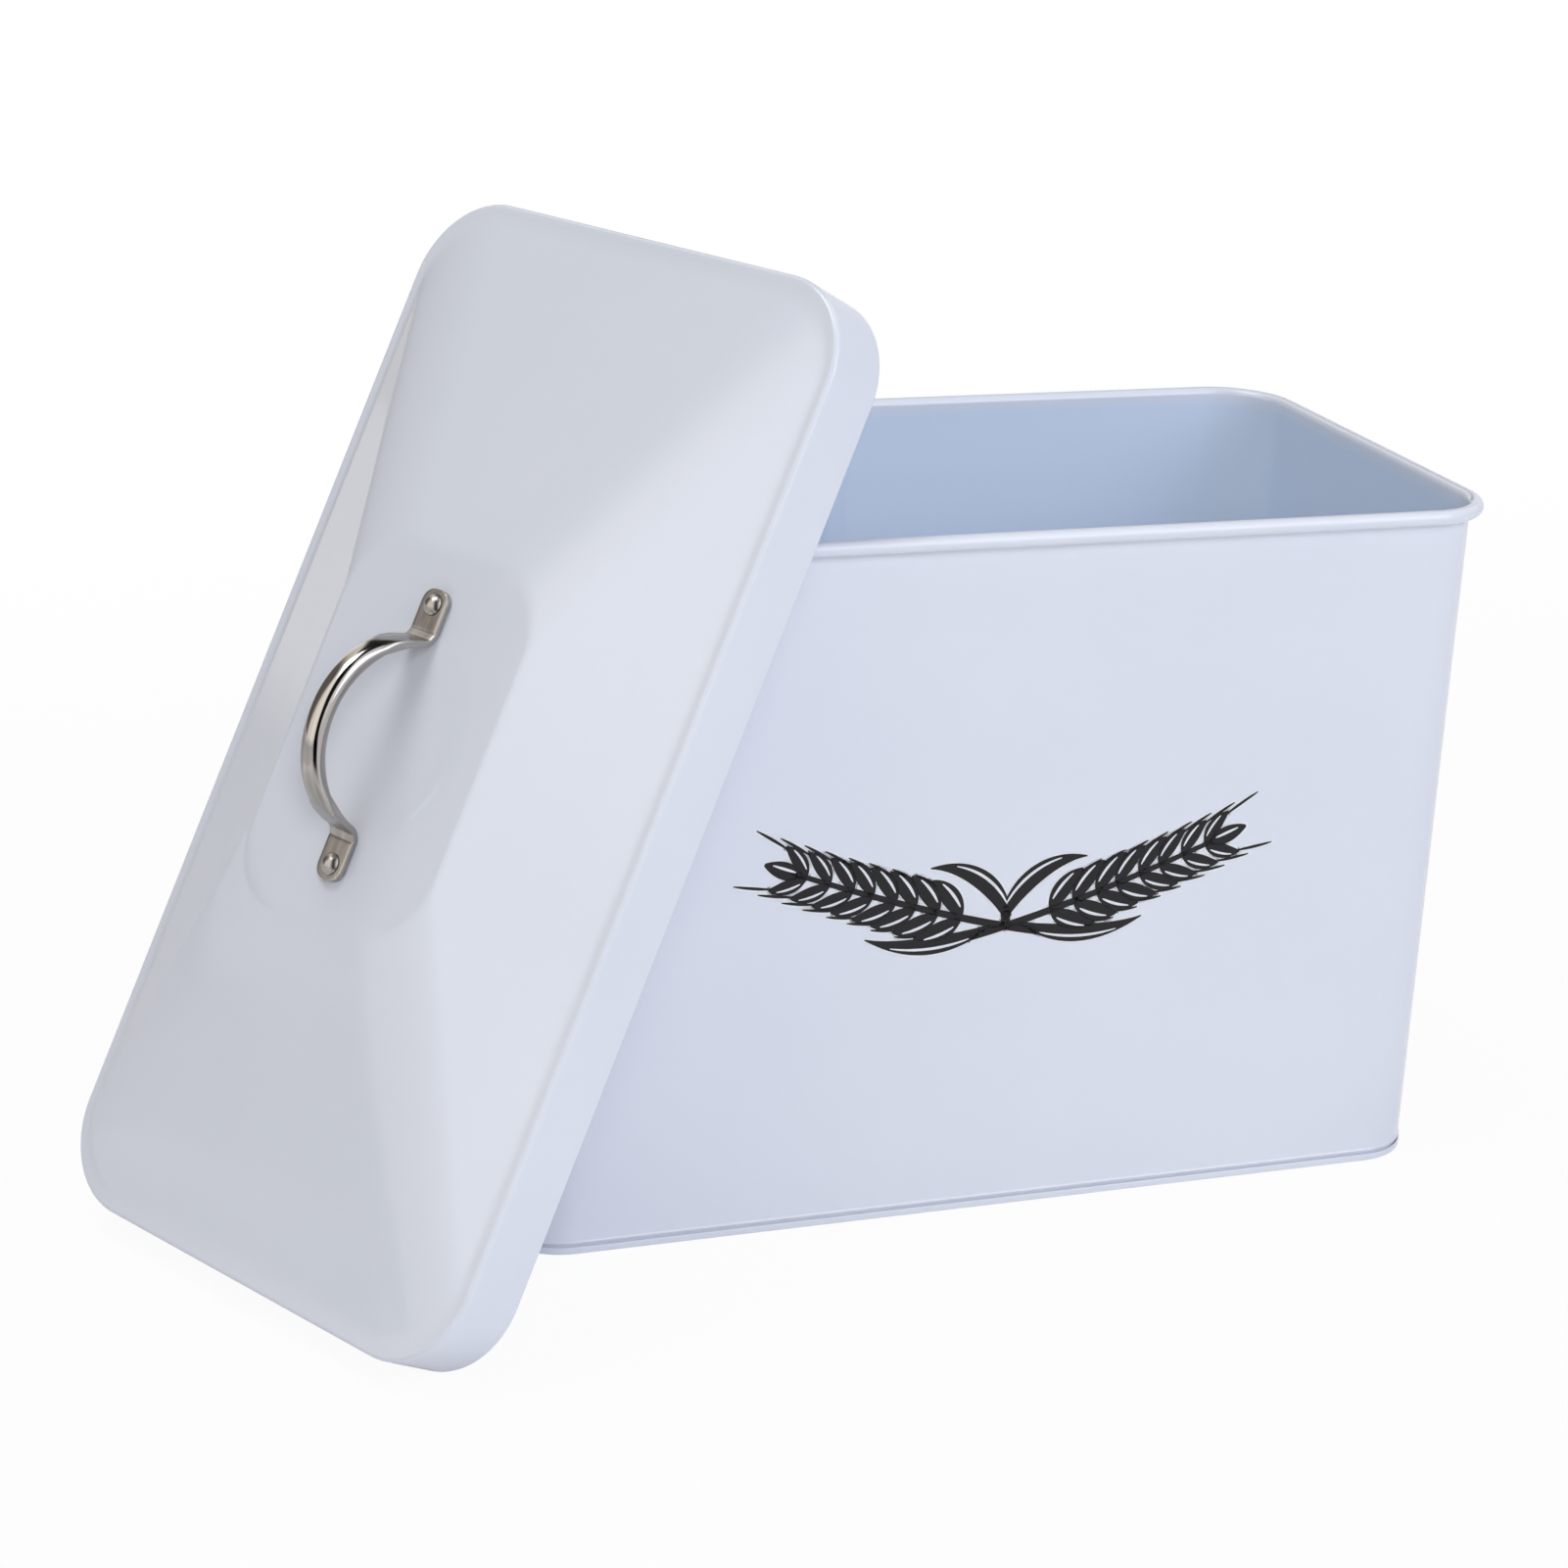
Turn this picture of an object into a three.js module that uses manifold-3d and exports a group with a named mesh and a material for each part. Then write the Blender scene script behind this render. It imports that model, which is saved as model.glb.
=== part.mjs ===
// Bread bin in enamelled sheet steel: an open box with a rolled rim and a base held in a
// folded seam, and a pressed lid with an arched handle. The lid is off the box. It stands
// on one short edge and leans on the box's front left corner, with its hollow side to the box.
import * as THREE from "three";
import { mergeVertices } from "three/addons/utils/BufferGeometryUtils.js";
import Module from "manifold-3d";

const wasm = await Module();
wasm.setup();

// Box, outside sizes in millimetres
const wallLength = 330;
const wallWidth = 170;
const binHeight = 233;
const cornerRadius = 22;
const sheet = 0.6;

// Rolled rim of the box
const rimRadius = 2.5;
const rimEndGap = 0.3;

// Side seam inside the back wall, where the wrapped sheet laps over itself
const lapWidth = 7;
const lapRamp = 0.8;
const lapRimGap = 4;
const lapFootGap = 3;

// Base seam: the wall's foot necks in and stands in a channel folded in the base's edge
const neckDepth = 0.4;
const neckTop = 4.3;
const neckRise = 0.9;
const seatGap = 0.3;
const bandHeight = 2.4;
const baseRecess = 3.2;
const footRadius = 0.5;
const panelBend = 1.2;

// Lid
const lidClearance = 1.5;
const hemThickness = 1.2;
const hemHeight = 4;
const hemRamp = 0.5;
const skirtHeight = 22;
const shoulderRadius = 1.5;
const marginWidth = 4.5;
const plateauLength = 114;
const plateauWidth = 81;
const plateauRadius = 23;
const plateauHeight = 46.5;
const footBlendShare = 0.12;
const crownBlendShare = 0.05;

// Handle and its rivets
const rivetSpacing = 84;
const handleRise = 27.1;
const archRadius = 30.5;
const bendRadius = 4.5;
const tabWidth = 11;
const tabThickness = 2.2;
const tabOverhang = 5;
const gripWidth = 8.4;
const gripThickness = 7;
const gripStartShare = 0.4;
const tabSquareness = 5;
const gripSquareness = 2.1;
const shankRadius = 2;
const holeClearance = 0.3;
const headRadius = 3.5;
const headHeight = 2;
const tailRadius = 3;
const tailHeight = 1;

// How the lid leans: its tilt from upright, and the heading of the lean from +X towards +Y
const leanAngle = THREE.MathUtils.degToRad(27.4);
const leanHeading = THREE.MathUtils.degToRad(25.4);
const leanGap = 0.3;

// Cuts run past the sheet by this much
const overrun = 3;

// Numbers of straight steps in each round
const cornerSteps = 8;
const rimSteps = 12;
const bendSteps = 3;
const archSteps = 22;
const sectionSides = 16;
const rivetSides = 18;

// Sizes that follow from the ones above
const rimOffset = rimRadius - sheet;
const rimReach = rimOffset + rimRadius;
const rimLevel = binHeight - rimRadius;
const lidReach = rimReach + lidClearance + hemThickness;
const lidHalfLength = wallLength / 2 + lidReach;
const lidHalfWidth = wallWidth / 2 + lidReach;
const lidCornerRadius = cornerRadius + lidReach;
const hemRadius = hemThickness / 2;
const marginHalfLength = lidHalfLength - marginWidth;
const marginHalfWidth = lidHalfWidth - marginWidth;
const holeRadius = shankRadius + holeClearance;
const tabTop = plateauHeight + seatGap + tabThickness;
const ceilingHeight = plateauHeight - sheet;

const steel = new THREE.MeshStandardMaterial({ color: 0xdfe5f3, roughness: 0.22, metalness: 0 });
const nickel = new THREE.MeshStandardMaterial({ color: 0xb8b1a8, roughness: 0.3, metalness: 1 });

// Rounded rectangle, anticlockwise from the front right corner. Each point carries the share
// of the side seam's lap that lies on it; marks are the seam's edges along the back side.
function outline(halfLength, halfWidth, radius, marks = []) {
  const points = [];
  const corners = [[1, -1], [1, 1], [-1, 1], [-1, -1]];
  corners.forEach(([sideX, sideY], turn) => {
    const centreX = sideX * (halfLength - radius);
    const centreY = sideY * (halfWidth - radius);
    for (let step = 0; step <= cornerSteps; step += 1) {
      const angle = (Math.PI / 2) * (turn - 1 + step / cornerSteps);
      const x = centreX + radius * Math.cos(angle);
      const y = centreY + radius * Math.sin(angle);
      points.push({ x, y, lap: 0 });
    }
    if (turn === 1) {
      marks.forEach(({ x, lap }) => points.push({ x, y: halfWidth, lap }));
    }
  });
  return points;
}

function ring(points, z, lapDepth = 0) {
  return points.map(({ x, y, lap }) => new THREE.Vector3(x, y - lap * lapDepth, z));
}

// Joins rings of equal count into one closed skin. Without caps, the last ring meets the first.
function closedSkin(rings, capped) {
  const around = rings[0].length;
  const points = rings.flat();
  const faces = [];
  const bands = capped ? rings.length - 1 : rings.length;
  for (let i = 0; i < bands; i += 1) {
    const here = i * around;
    const next = ((i + 1) % rings.length) * around;
    for (let j = 0; j < around; j += 1) {
      const k = (j + 1) % around;
      faces.push([here + j, here + k, next + k], [here + j, next + k, next + j]);
    }
  }
  if (capped) {
    addCap(points, faces, rings[0], 0, true);
    addCap(points, faces, rings[rings.length - 1], (rings.length - 1) * around, false);
  }
  return outwardGeometry(points, faces);
}

function addCap(points, faces, rim, start, reversed) {
  const centre = points.length;
  const middle = rim.reduce((sum, p) => sum.add(p), new THREE.Vector3());
  points.push(middle.divideScalar(rim.length));
  for (let j = 0; j < rim.length; j += 1) {
    const k = (j + 1) % rim.length;
    faces.push(reversed ? [centre, start + k, start + j] : [centre, start + j, start + k]);
  }
}

// Turns the whole skin over if its faces point inwards
function outwardGeometry(points, faces) {
  const volume = faces.reduce((sum, [a, b, c]) => {
    const normal = new THREE.Vector3().crossVectors(points[b], points[c]);
    return sum + points[a].dot(normal);
  }, 0);
  const turned = volume < 0 ? faces.map(([a, b, c]) => [a, c, b]) : faces;
  const geometry = new THREE.BufferGeometry();
  const positions = points.flatMap((p) => p.toArray());
  geometry.setAttribute("position", new THREE.Float32BufferAttribute(positions, 3));
  geometry.setIndex(turned.flat());
  return geometry;
}

function toSolid(source) {
  const bare = source.clone();
  bare.deleteAttribute("normal");
  bare.deleteAttribute("uv");
  const merged = mergeVertices(bare);
  const vertProperties = new Float32Array(merged.attributes.position.array);
  const triVerts = new Uint32Array(merged.index.array);
  return new wasm.Manifold(new wasm.Mesh({ numProp: 3, vertProperties, triVerts }));
}

function cutAway(source, cutters) {
  const solid = cutters.reduce((rest, cutter) => rest.subtract(toSolid(cutter)), toSolid(source));
  const { vertProperties, triVerts } = solid.getMesh();
  const geometry = new THREE.BufferGeometry();
  geometry.setAttribute("position", new THREE.BufferAttribute(vertProperties, 3));
  geometry.setIndex(new THREE.BufferAttribute(triVerts, 1));
  return geometry;
}

// Points of an arc in a profile's plane, where x is outwards and y is up
function arc(x, y, radius, from, to, steps) {
  const points = [];
  for (let i = 0; i <= steps; i += 1) {
    const angle = from + ((to - from) * i) / steps;
    points.push([x + radius * Math.cos(angle), y + radius * Math.sin(angle)]);
  }
  return points;
}

// A smooth joggle from one offset to another between two levels
function joggle(fromOut, fromZ, toOut, toZ) {
  const points = [];
  for (let i = 0; i <= bendSteps; i += 1) {
    const share = i / bendSteps;
    const eased = (1 - Math.cos(Math.PI * share)) / 2;
    points.push([fromOut + (toOut - fromOut) * eased, fromZ + (toZ - fromZ) * share]);
  }
  return points;
}

// Wall: up the outside, round the inside of the roll to its end, back round its outside,
// and down the inside past the lap to the necked foot
function wallProfile() {
  const rollEnd = -Math.acos((rimEndGap - rimOffset) / rimRadius);
  const inner = arc(rimOffset, rimLevel, rimRadius - sheet, Math.PI, rollEnd, rimSteps);
  const outer = arc(rimOffset, rimLevel, rimRadius, rollEnd, Math.PI, rimSteps);
  const neckFoot = neckTop - neckRise;
  const wallFoot = sheet + seatGap;
  const plain = (points) => points.map(([out, z]) => ({ out, z, lap: 0 }));
  const lapTop = rimLevel - lapRimGap;
  const lapFoot = neckTop + lapFootGap;
  return [
    { out: -neckDepth, z: wallFoot, lap: 0 },
    ...plain(joggle(-neckDepth, neckFoot, 0, neckTop)),
    ...plain(inner),
    ...plain(outer),
    { out: -sheet, z: lapTop, lap: 0 },
    { out: -sheet, z: lapTop - lapRamp, lap: 1 },
    { out: -sheet, z: lapFoot + lapRamp, lap: 1 },
    { out: -sheet, z: lapFoot, lap: 0 },
    ...plain(joggle(-sheet, neckTop, -sheet - neckDepth, neckFoot)),
    { out: -sheet - neckDepth, z: wallFoot, lap: 0 },
  ];
}

function boxOutline(out, marks) {
  return outline(wallLength / 2 + out, wallWidth / 2 + out, cornerRadius + out, marks);
}

function makeWall() {
  const edge = lapWidth / 2;
  const marks = [
    { x: edge + lapRamp, lap: 0 },
    { x: edge, lap: 1 },
    { x: -edge, lap: 1 },
    { x: -edge - lapRamp, lap: 0 },
  ];
  const rings = wallProfile().map(({ out, z, lap }) => ring(boxOutline(out, marks), z, lap * sheet));
  return closedSkin(rings, false);
}

// Base: the panel lies a little above the floor, its edge turns down inside the wall's foot,
// under it, and up again outside as the seam's band
function baseProfile() {
  const legOut = -neckDepth - sheet - seatGap;
  const legIn = legOut - sheet;
  const bandIn = -neckDepth + seatGap;
  const bandOut = bandIn + sheet;
  const quarter = Math.PI / 2;
  const panelTop = baseRecess + sheet;
  const innerBend = panelBend - sheet;
  const topBendOut = legOut - panelBend;
  const footIn = legIn + footRadius;
  const footOut = bandOut - footRadius;
  const lipRadius = sheet / 2;
  return [
    ...arc(topBendOut, panelTop - panelBend, innerBend, quarter, 0, bendSteps),
    ...arc(footIn, footRadius, footRadius, 2 * quarter, 3 * quarter, bendSteps),
    ...arc(footOut, footRadius, footRadius, 3 * quarter, 4 * quarter, bendSteps),
    ...arc(bandIn + lipRadius, bandHeight - lipRadius, lipRadius, 0, 2 * quarter, 2 * bendSteps),
    [bandIn, sheet],
    [legOut, sheet],
    ...arc(topBendOut, panelTop - panelBend, panelBend, 0, quarter, bendSteps),
  ];
}

function makeBase() {
  const rings = baseProfile().map(([out, z]) => ring(boxOutline(out), z));
  return closedSkin(rings, true);
}

// Height of the lid's slopes as a share of their rise: the steepness grows over the foot
// blend, holds, and fades over the crown blend. reach runs from 0 at the margin to 1.
const slopeArea = 1 - (footBlendShare + crownBlendShare) / 2;

function slopeShare(reach) {
  const foot = Math.min(reach, footBlendShare);
  const crown = Math.max(reach - (1 - crownBlendShare), 0);
  const footPart = (foot * foot) / (2 * footBlendShare) + (reach - foot);
  return (footPart - (crown * crown) / (2 * crownBlendShare)) / slopeArea;
}

function slopeReaches() {
  const foot = [0, 1 / 3, 2 / 3, 1].map((share) => share * footBlendShare);
  const crown = [0, 1 / 3, 2 / 3, 1].map((share) => 1 - crownBlendShare * (1 - share));
  return [...foot, ...crown];
}

// A ring of the dome, between the margin's inner edge and the plateau's edge
function domeRing(reach, drop) {
  const blend = THREE.MathUtils.lerp;
  const halfLength = blend(marginHalfLength, plateauLength / 2, reach);
  const halfWidth = blend(marginHalfWidth, plateauWidth / 2, reach);
  const radius = blend(lidCornerRadius - marginWidth, plateauRadius, reach);
  const rise = (plateauHeight - skirtHeight) * slopeShare(reach);
  return ring(outline(halfLength, halfWidth, radius), skirtHeight + rise - drop);
}

function lidRing([inset, z]) {
  const points = outline(lidHalfLength - inset, lidHalfWidth - inset, lidCornerRadius - inset);
  return ring(points, z);
}

// Lid: down from the ceiling inside, round the hem, up the skirt, over the shoulder and margin
function makeLidShell() {
  const quarter = Math.PI / 2;
  const inward = ([x, z]) => [-x, z];
  const shoulder = arc(-shoulderRadius, skirtHeight - shoulderRadius, shoulderRadius, 0, quarter, bendSteps);
  const innerBend = shoulderRadius - sheet;
  const innerShoulder = arc(-shoulderRadius, skirtHeight - shoulderRadius, innerBend, quarter, 0, bendSteps);
  const hem = arc(-hemRadius, hemRadius, hemRadius, -2 * quarter, 0, 2 * bendSteps);
  const edge = [
    ...innerShoulder.map(inward),
    [sheet, hemHeight + hemRamp],
    [hemThickness, hemHeight],
    ...hem.map(inward),
    ...shoulder.map(inward),
  ];
  const reaches = slopeReaches();
  const rings = [
    ...reaches.map((reach) => domeRing(reach, sheet)).reverse(),
    ...edge.map(lidRing),
    ...reaches.map((reach) => domeRing(reach, 0)),
  ];
  return cutAway(closedSkin(rings, true), rivetHoles(ceilingHeight, plateauHeight));
}

// Drills for the two rivets, from below one level to above another
function rivetHoles(low, high) {
  return [1, -1].map((side) => {
    const drill = new THREE.CylinderGeometry(holeRadius, holeRadius, high - low + 2 * overrun, rivetSides);
    drill.rotateX(Math.PI / 2);
    return drill.translate((side * rivetSpacing) / 2, 0, (low + high) / 2);
  });
}

// Centre line of the handle in the lid's long upright plane, from one tab's end to the other:
// along is the place, up the height, tilt the direction, grip the share of the round section
// and width the half width
function handleStations() {
  const sweep = Math.acos(1 - handleRise / (archRadius + bendRadius));
  const bendEnd = (archRadius + bendRadius) * Math.sin(sweep);
  const level = plateauHeight + seatGap + tabThickness / 2;
  const tabEnd = rivetSpacing / 2 + tabOverhang;
  const half = [];
  const endSteps = 2 * bendSteps;
  for (let i = 0; i < endSteps; i += 1) {
    const angle = ((Math.PI / 2) * (endSteps - i)) / (endSteps + 1);
    const along = tabEnd - tabOverhang * (1 - Math.sin(angle));
    half.push({ along: -along, up: level, tilt: 0, grip: 0, width: (tabWidth / 2) * Math.cos(angle) });
  }
  half.push({ along: -rivetSpacing / 2, up: level, tilt: 0, grip: 0, width: tabWidth / 2 });
  for (let i = 0; i <= 2 * bendSteps; i += 1) {
    const tilt = (sweep * i) / (2 * bendSteps);
    const along = -bendEnd + bendRadius * Math.sin(tilt);
    half.push({ along, up: level + bendRadius * (1 - Math.cos(tilt)), tilt, grip: 0, width: tabWidth / 2 });
  }
  const top = level + handleRise;
  const arch = [];
  for (let i = 1; i < archSteps; i += 1) {
    const tilt = sweep * (1 - (2 * i) / archSteps);
    const fade = (sweep - Math.abs(tilt)) / (sweep * (1 - gripStartShare));
    const grip = THREE.MathUtils.smoothstep(fade, 0, 1);
    const width = THREE.MathUtils.lerp(tabWidth, gripWidth, grip) / 2;
    const up = top - archRadius * (1 - Math.cos(tilt));
    arch.push({ along: -archRadius * Math.sin(tilt), up, tilt, grip, width });
  }
  const mirror = half.map((s) => ({ ...s, along: -s.along, tilt: -s.tilt })).reverse();
  return [...half, ...arch, ...mirror];
}

// Section of the handle: a rounded oblong at the tabs that grows into a round grip
function handleSection({ along, up, tilt, grip, width }) {
  const thick = THREE.MathUtils.lerp(tabThickness, gripThickness, grip) / 2;
  const power = 2 / THREE.MathUtils.lerp(tabSquareness, gripSquareness, grip);
  const bulge = (value) => Math.sign(value) * Math.abs(value) ** power;
  const points = [];
  for (let i = 0; i < sectionSides; i += 1) {
    const angle = (2 * Math.PI * (i + 1 / 2)) / sectionSides;
    const across = width * bulge(Math.cos(angle));
    const out = thick * bulge(Math.sin(angle));
    points.push(new THREE.Vector3(along - out * Math.sin(tilt), across, up + out * Math.cos(tilt)));
  }
  return points;
}

function makeHandle() {
  const skin = closedSkin(handleStations().map(handleSection), true);
  return cutAway(skin, rivetHoles(plateauHeight, tabTop));
}

// Rivet: a domed head over the tab, a shank through both, and a flat tail under the lid
function makeRivet() {
  const underHead = tabTop + seatGap;
  const tailTop = ceilingHeight - seatGap;
  const dome = (headRadius ** 2 + headHeight ** 2) / (2 * headHeight);
  const edgeAngle = Math.asin(headRadius / dome);
  const domeSteps = 2 * bendSteps;
  const profile = [
    new THREE.Vector2(0, tailTop - tailHeight),
    new THREE.Vector2(tailRadius, tailTop - tailHeight),
    new THREE.Vector2(tailRadius, tailTop),
    new THREE.Vector2(shankRadius, tailTop),
    new THREE.Vector2(shankRadius, underHead),
  ];
  for (let i = 0; i < domeSteps; i += 1) {
    const angle = edgeAngle * (1 - i / domeSteps);
    const level = underHead + headHeight - dome * (1 - Math.cos(angle));
    profile.push(new THREE.Vector2(dome * Math.sin(angle), level));
  }
  profile.push(new THREE.Vector2(0, underHead + headHeight));
  return new THREE.LatheGeometry(profile, rivetSides).rotateX(Math.PI / 2);
}

// Where the lid stands. Its hem is on the floor, one long side's hem rests on the rim of the
// box's left side, and its ceiling rests on the rim's front left corner.
function lidPose() {
  const up = new THREE.Vector3(0, 0, 1);
  const heading = new THREE.Vector3(Math.cos(leanHeading), Math.sin(leanHeading), 0);
  const along = up.clone().multiplyScalar(Math.cos(leanAngle));
  along.addScaledVector(heading, Math.sin(leanAngle));
  const outward = up.clone().multiplyScalar(Math.sin(leanAngle));
  outward.addScaledVector(heading, -Math.cos(leanAngle));
  const across = new THREE.Vector3().crossVectors(outward, along);

  const z = (lidHalfLength - hemRadius) * along.z - hemRadius * outward.z + hemRadius;

  const apart = new THREE.Vector3(-along.z, 0, along.x).normalize();
  const hemLine = across.clone().multiplyScalar(lidHalfWidth - hemRadius);
  hemLine.addScaledVector(outward, hemRadius);
  const sideRim = new THREE.Vector3(-wallLength / 2 - rimOffset, 0, rimLevel);
  const sideReach = rimRadius + hemRadius + leanGap - hemLine.dot(apart) + sideRim.dot(apart);
  const x = (sideReach - z * apart.z) / apart.x;

  const rise = (plateauHeight - skirtHeight) / slopeArea;
  const steepness = rise / (marginHalfLength - plateauLength / 2);
  const crest = skirtHeight + rise * (1 - footBlendShare / 2) - sheet;
  const endNormal = outward.clone().addScaledVector(along, steepness).normalize();
  const crestPoint = along.clone().multiplyScalar(plateauLength / 2);
  crestPoint.addScaledVector(outward, crest);
  const inCorner = cornerRadius - wallLength / 2;
  const corner = new THREE.Vector3(inCorner, cornerRadius - wallWidth / 2, rimLevel);
  const cornerReach = (cornerRadius + rimOffset) * Math.hypot(endNormal.x, endNormal.y);
  const touch = endNormal.dot(corner) + cornerReach + rimRadius + leanGap;
  const rest = touch - endNormal.dot(crestPoint) - endNormal.x * x - endNormal.z * z;
  const y = rest / endNormal.y;

  const turn = new THREE.Matrix4().makeBasis(along, across, outward);
  return turn.setPosition(x, y, z);
}

function part(name, geometry, material) {
  const mesh = new THREE.Mesh(geometry, material);
  mesh.name = name;
  return mesh;
}

function makeBin() {
  const bin = new THREE.Group();
  bin.add(part("bin_wall", makeWall(), steel));
  bin.add(part("bin_base", makeBase(), steel));
  return bin;
}

function makeLid() {
  const lid = new THREE.Group();
  lid.add(part("lid_shell", makeLidShell(), steel));
  lid.add(part("lid_handle", makeHandle(), nickel));
  ["rivet_upper", "rivet_lower"].forEach((name, index) => {
    const rivet = part(name, makeRivet(), nickel);
    rivet.position.x = ((1 - 2 * index) * rivetSpacing) / 2;
    lid.add(rivet);
  });
  lid.applyMatrix4(lidPose());
  return lid;
}

// The origin is on the floor under the middle of the box and the leaning lid together
const group = new THREE.Group();
group.add(makeBin(), makeLid());
group.updateMatrixWorld(true);
const middle = new THREE.Box3().setFromObject(group, true).getCenter(new THREE.Vector3());
group.position.set(-middle.x, -middle.y, 0);

export default group;
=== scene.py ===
import math

import bpy
import numpy as np
from mathutils import Matrix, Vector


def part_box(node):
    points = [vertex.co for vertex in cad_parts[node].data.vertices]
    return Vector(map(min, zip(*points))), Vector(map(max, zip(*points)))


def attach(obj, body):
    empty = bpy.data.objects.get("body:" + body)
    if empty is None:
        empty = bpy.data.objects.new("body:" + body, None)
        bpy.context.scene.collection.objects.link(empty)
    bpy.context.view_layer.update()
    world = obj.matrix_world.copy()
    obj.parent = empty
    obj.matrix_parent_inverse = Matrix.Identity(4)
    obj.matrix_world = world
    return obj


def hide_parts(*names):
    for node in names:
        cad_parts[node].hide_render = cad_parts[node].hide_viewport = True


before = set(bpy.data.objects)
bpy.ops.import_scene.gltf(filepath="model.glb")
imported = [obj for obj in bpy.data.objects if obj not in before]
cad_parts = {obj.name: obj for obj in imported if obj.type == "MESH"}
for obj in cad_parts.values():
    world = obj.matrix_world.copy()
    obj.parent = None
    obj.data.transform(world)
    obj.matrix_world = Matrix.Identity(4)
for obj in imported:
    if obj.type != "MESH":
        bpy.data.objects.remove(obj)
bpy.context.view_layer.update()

# Bread bin in glossy enamelled sheet steel, lid off and leaning. Lengths are in metres.

mm = 0.001
wallLow, wallHigh = (np.array(corner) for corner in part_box("bin_wall"))
binPlace = np.array([(wallLow[0] + wallHigh[0]) / 2, (wallLow[1] + wallHigh[1]) / 2, 0.0])

box = {
    "halfLength": 165 * mm,
    "halfWidth": 85 * mm,
    "height": 233 * mm,
    "cornerRadius": 22 * mm,
    "sheet": 0.6 * mm,
    "rollRadius": 2.5 * mm,
    "rollEndGap": 0.3 * mm,
    "neckDepth": 0.4 * mm,
    "neckTop": 3.3 * mm,
    "neckRise": 0.6 * mm,
    "bead": 0.32 * mm,           # pressed bead just above the neck
    "beadRise": 1.3 * mm,
    "seatGap": 0.3 * mm,
    "lapHalfWidth": 3.5 * mm,
    "lapRamp": 0.8 * mm,
    "lapTop": 4 * mm,            # the lap ends so far below the roll
    "lapFoot": 3 * mm,           # and so far above the neck
    "waveHeight": 0.10 * mm,     # how far the flat walls bow in and out
    "waveFade": (0.05, 0.04),    # over this height the bow fades out above the foot and below the roll
    "waves": ((31, 17, 0.4, 1.0), (19, -43, 1.9, 0.7), (0, 53, 2.2, 0.5)),    # along X, Z, shift, part
}


def ease(t):
    # smooth step: 3t^2 - 2t^3 between 0 and 1
    t = np.clip(t, 0.0, 1.0)
    return t * t * (3 - 2 * t)


def arcProfile(x, z, radius, start, end, steps):
    # points (x + r cos a, z + r sin a) for angles a from start to end
    a = np.linspace(start, end, steps + 1)
    return np.stack([x + radius * np.cos(a), z + radius * np.sin(a)], axis=1)


def lineProfile(start, end, steps):
    # straight run of points, without its two ends
    t = np.linspace(0, 1, steps + 1)[1:-1, None]
    return np.asarray(start) * (1 - t) + np.asarray(end) * t


def aroundColumns(cornerSteps, longSteps, shortSteps, marks=()):
    # Columns round a rounded rectangle, anticlockwise from the front right corner. Each one is
    # a share (-1 to 1) of the corner centre's place along X and Y and an angle on the corner.
    # On a straight side the angle stays and the share runs from one corner to the next. marks
    # are extra shares on the back side.
    shareX, shareY, angle = [], [], []
    signs = [(1, -1), (1, 1), (-1, 1), (-1, -1)]
    for k in range(4):
        a = (np.pi / 2) * (k - 1 + np.linspace(0, 1, cornerSteps + 1))
        shareX.append(np.full(a.shape, signs[k][0], float))
        shareY.append(np.full(a.shape, signs[k][1], float))
        angle.append(a)
        steps = shortSteps if k % 2 == 0 else longSteps
        t = np.linspace(-1, 1, steps + 1)[1:-1]
        if k == 1 and len(marks):
            t = np.sort(np.concatenate([t, marks]))
        nextX, nextY = signs[(k + 1) % 4]
        shareX.append(np.full(t.shape, nextX, float) if k % 2 == 0 else t * nextX)
        shareY.append(t * nextY if k % 2 == 0 else np.full(t.shape, nextY, float))
        angle.append(np.full(t.shape, (np.pi / 2) * k))
    return np.concatenate(shareX), np.concatenate(shareY), np.concatenate(angle)


def roundedRings(columns, halfLength, halfWidth, radius, level):
    # Grid of rings: x = shareX (halfLength - r) + r cos a, y = shareY (halfWidth - r) + r sin a.
    # The sizes are arrays with one value for each ring.
    shareX, shareY, angle = (c[None, :] for c in columns)
    hl, hw, r, z = (np.asarray(v, float)[:, None] for v in (halfLength, halfWidth, radius, level))
    x = shareX * (hl - r) + r * np.cos(angle)
    y = shareY * (hw - r) + r * np.sin(angle)
    return np.stack([x, y, np.broadcast_to(z, x.shape)], axis=2)


def sheetWave(x, z):
    # slow bow of a flat wall: a sum of sines that fades out below the roll and above the foot
    low, high = box["waveFade"]
    top = box["height"] - 2 * box["rollRadius"]
    fade = ease(z / low) * ease((top - z) / high)
    wave = sum(part * np.sin(kx * x + kz * z + shift) for kx, kz, shift, part in box["waves"])
    return fade * wave / sum(w[3] for w in box["waves"]) * box["waveHeight"]


def midWall(share):
    # 1 on the middle of a flat wall, fading out over the last quarter before its corners
    return ease((1 - np.abs(share)) * 4)


def meshVolume(points, quads):
    # six times the volume inside the quads, each cut in two triangles, measured from the
    # shape's middle; only its sign is used
    p = points - points.mean(axis=0)
    a, b, c, d = (p[quads[:, k]] for k in range(4))
    return (np.cross(a, b) * c).sum() + (np.cross(a, c) * d).sum()


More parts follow.
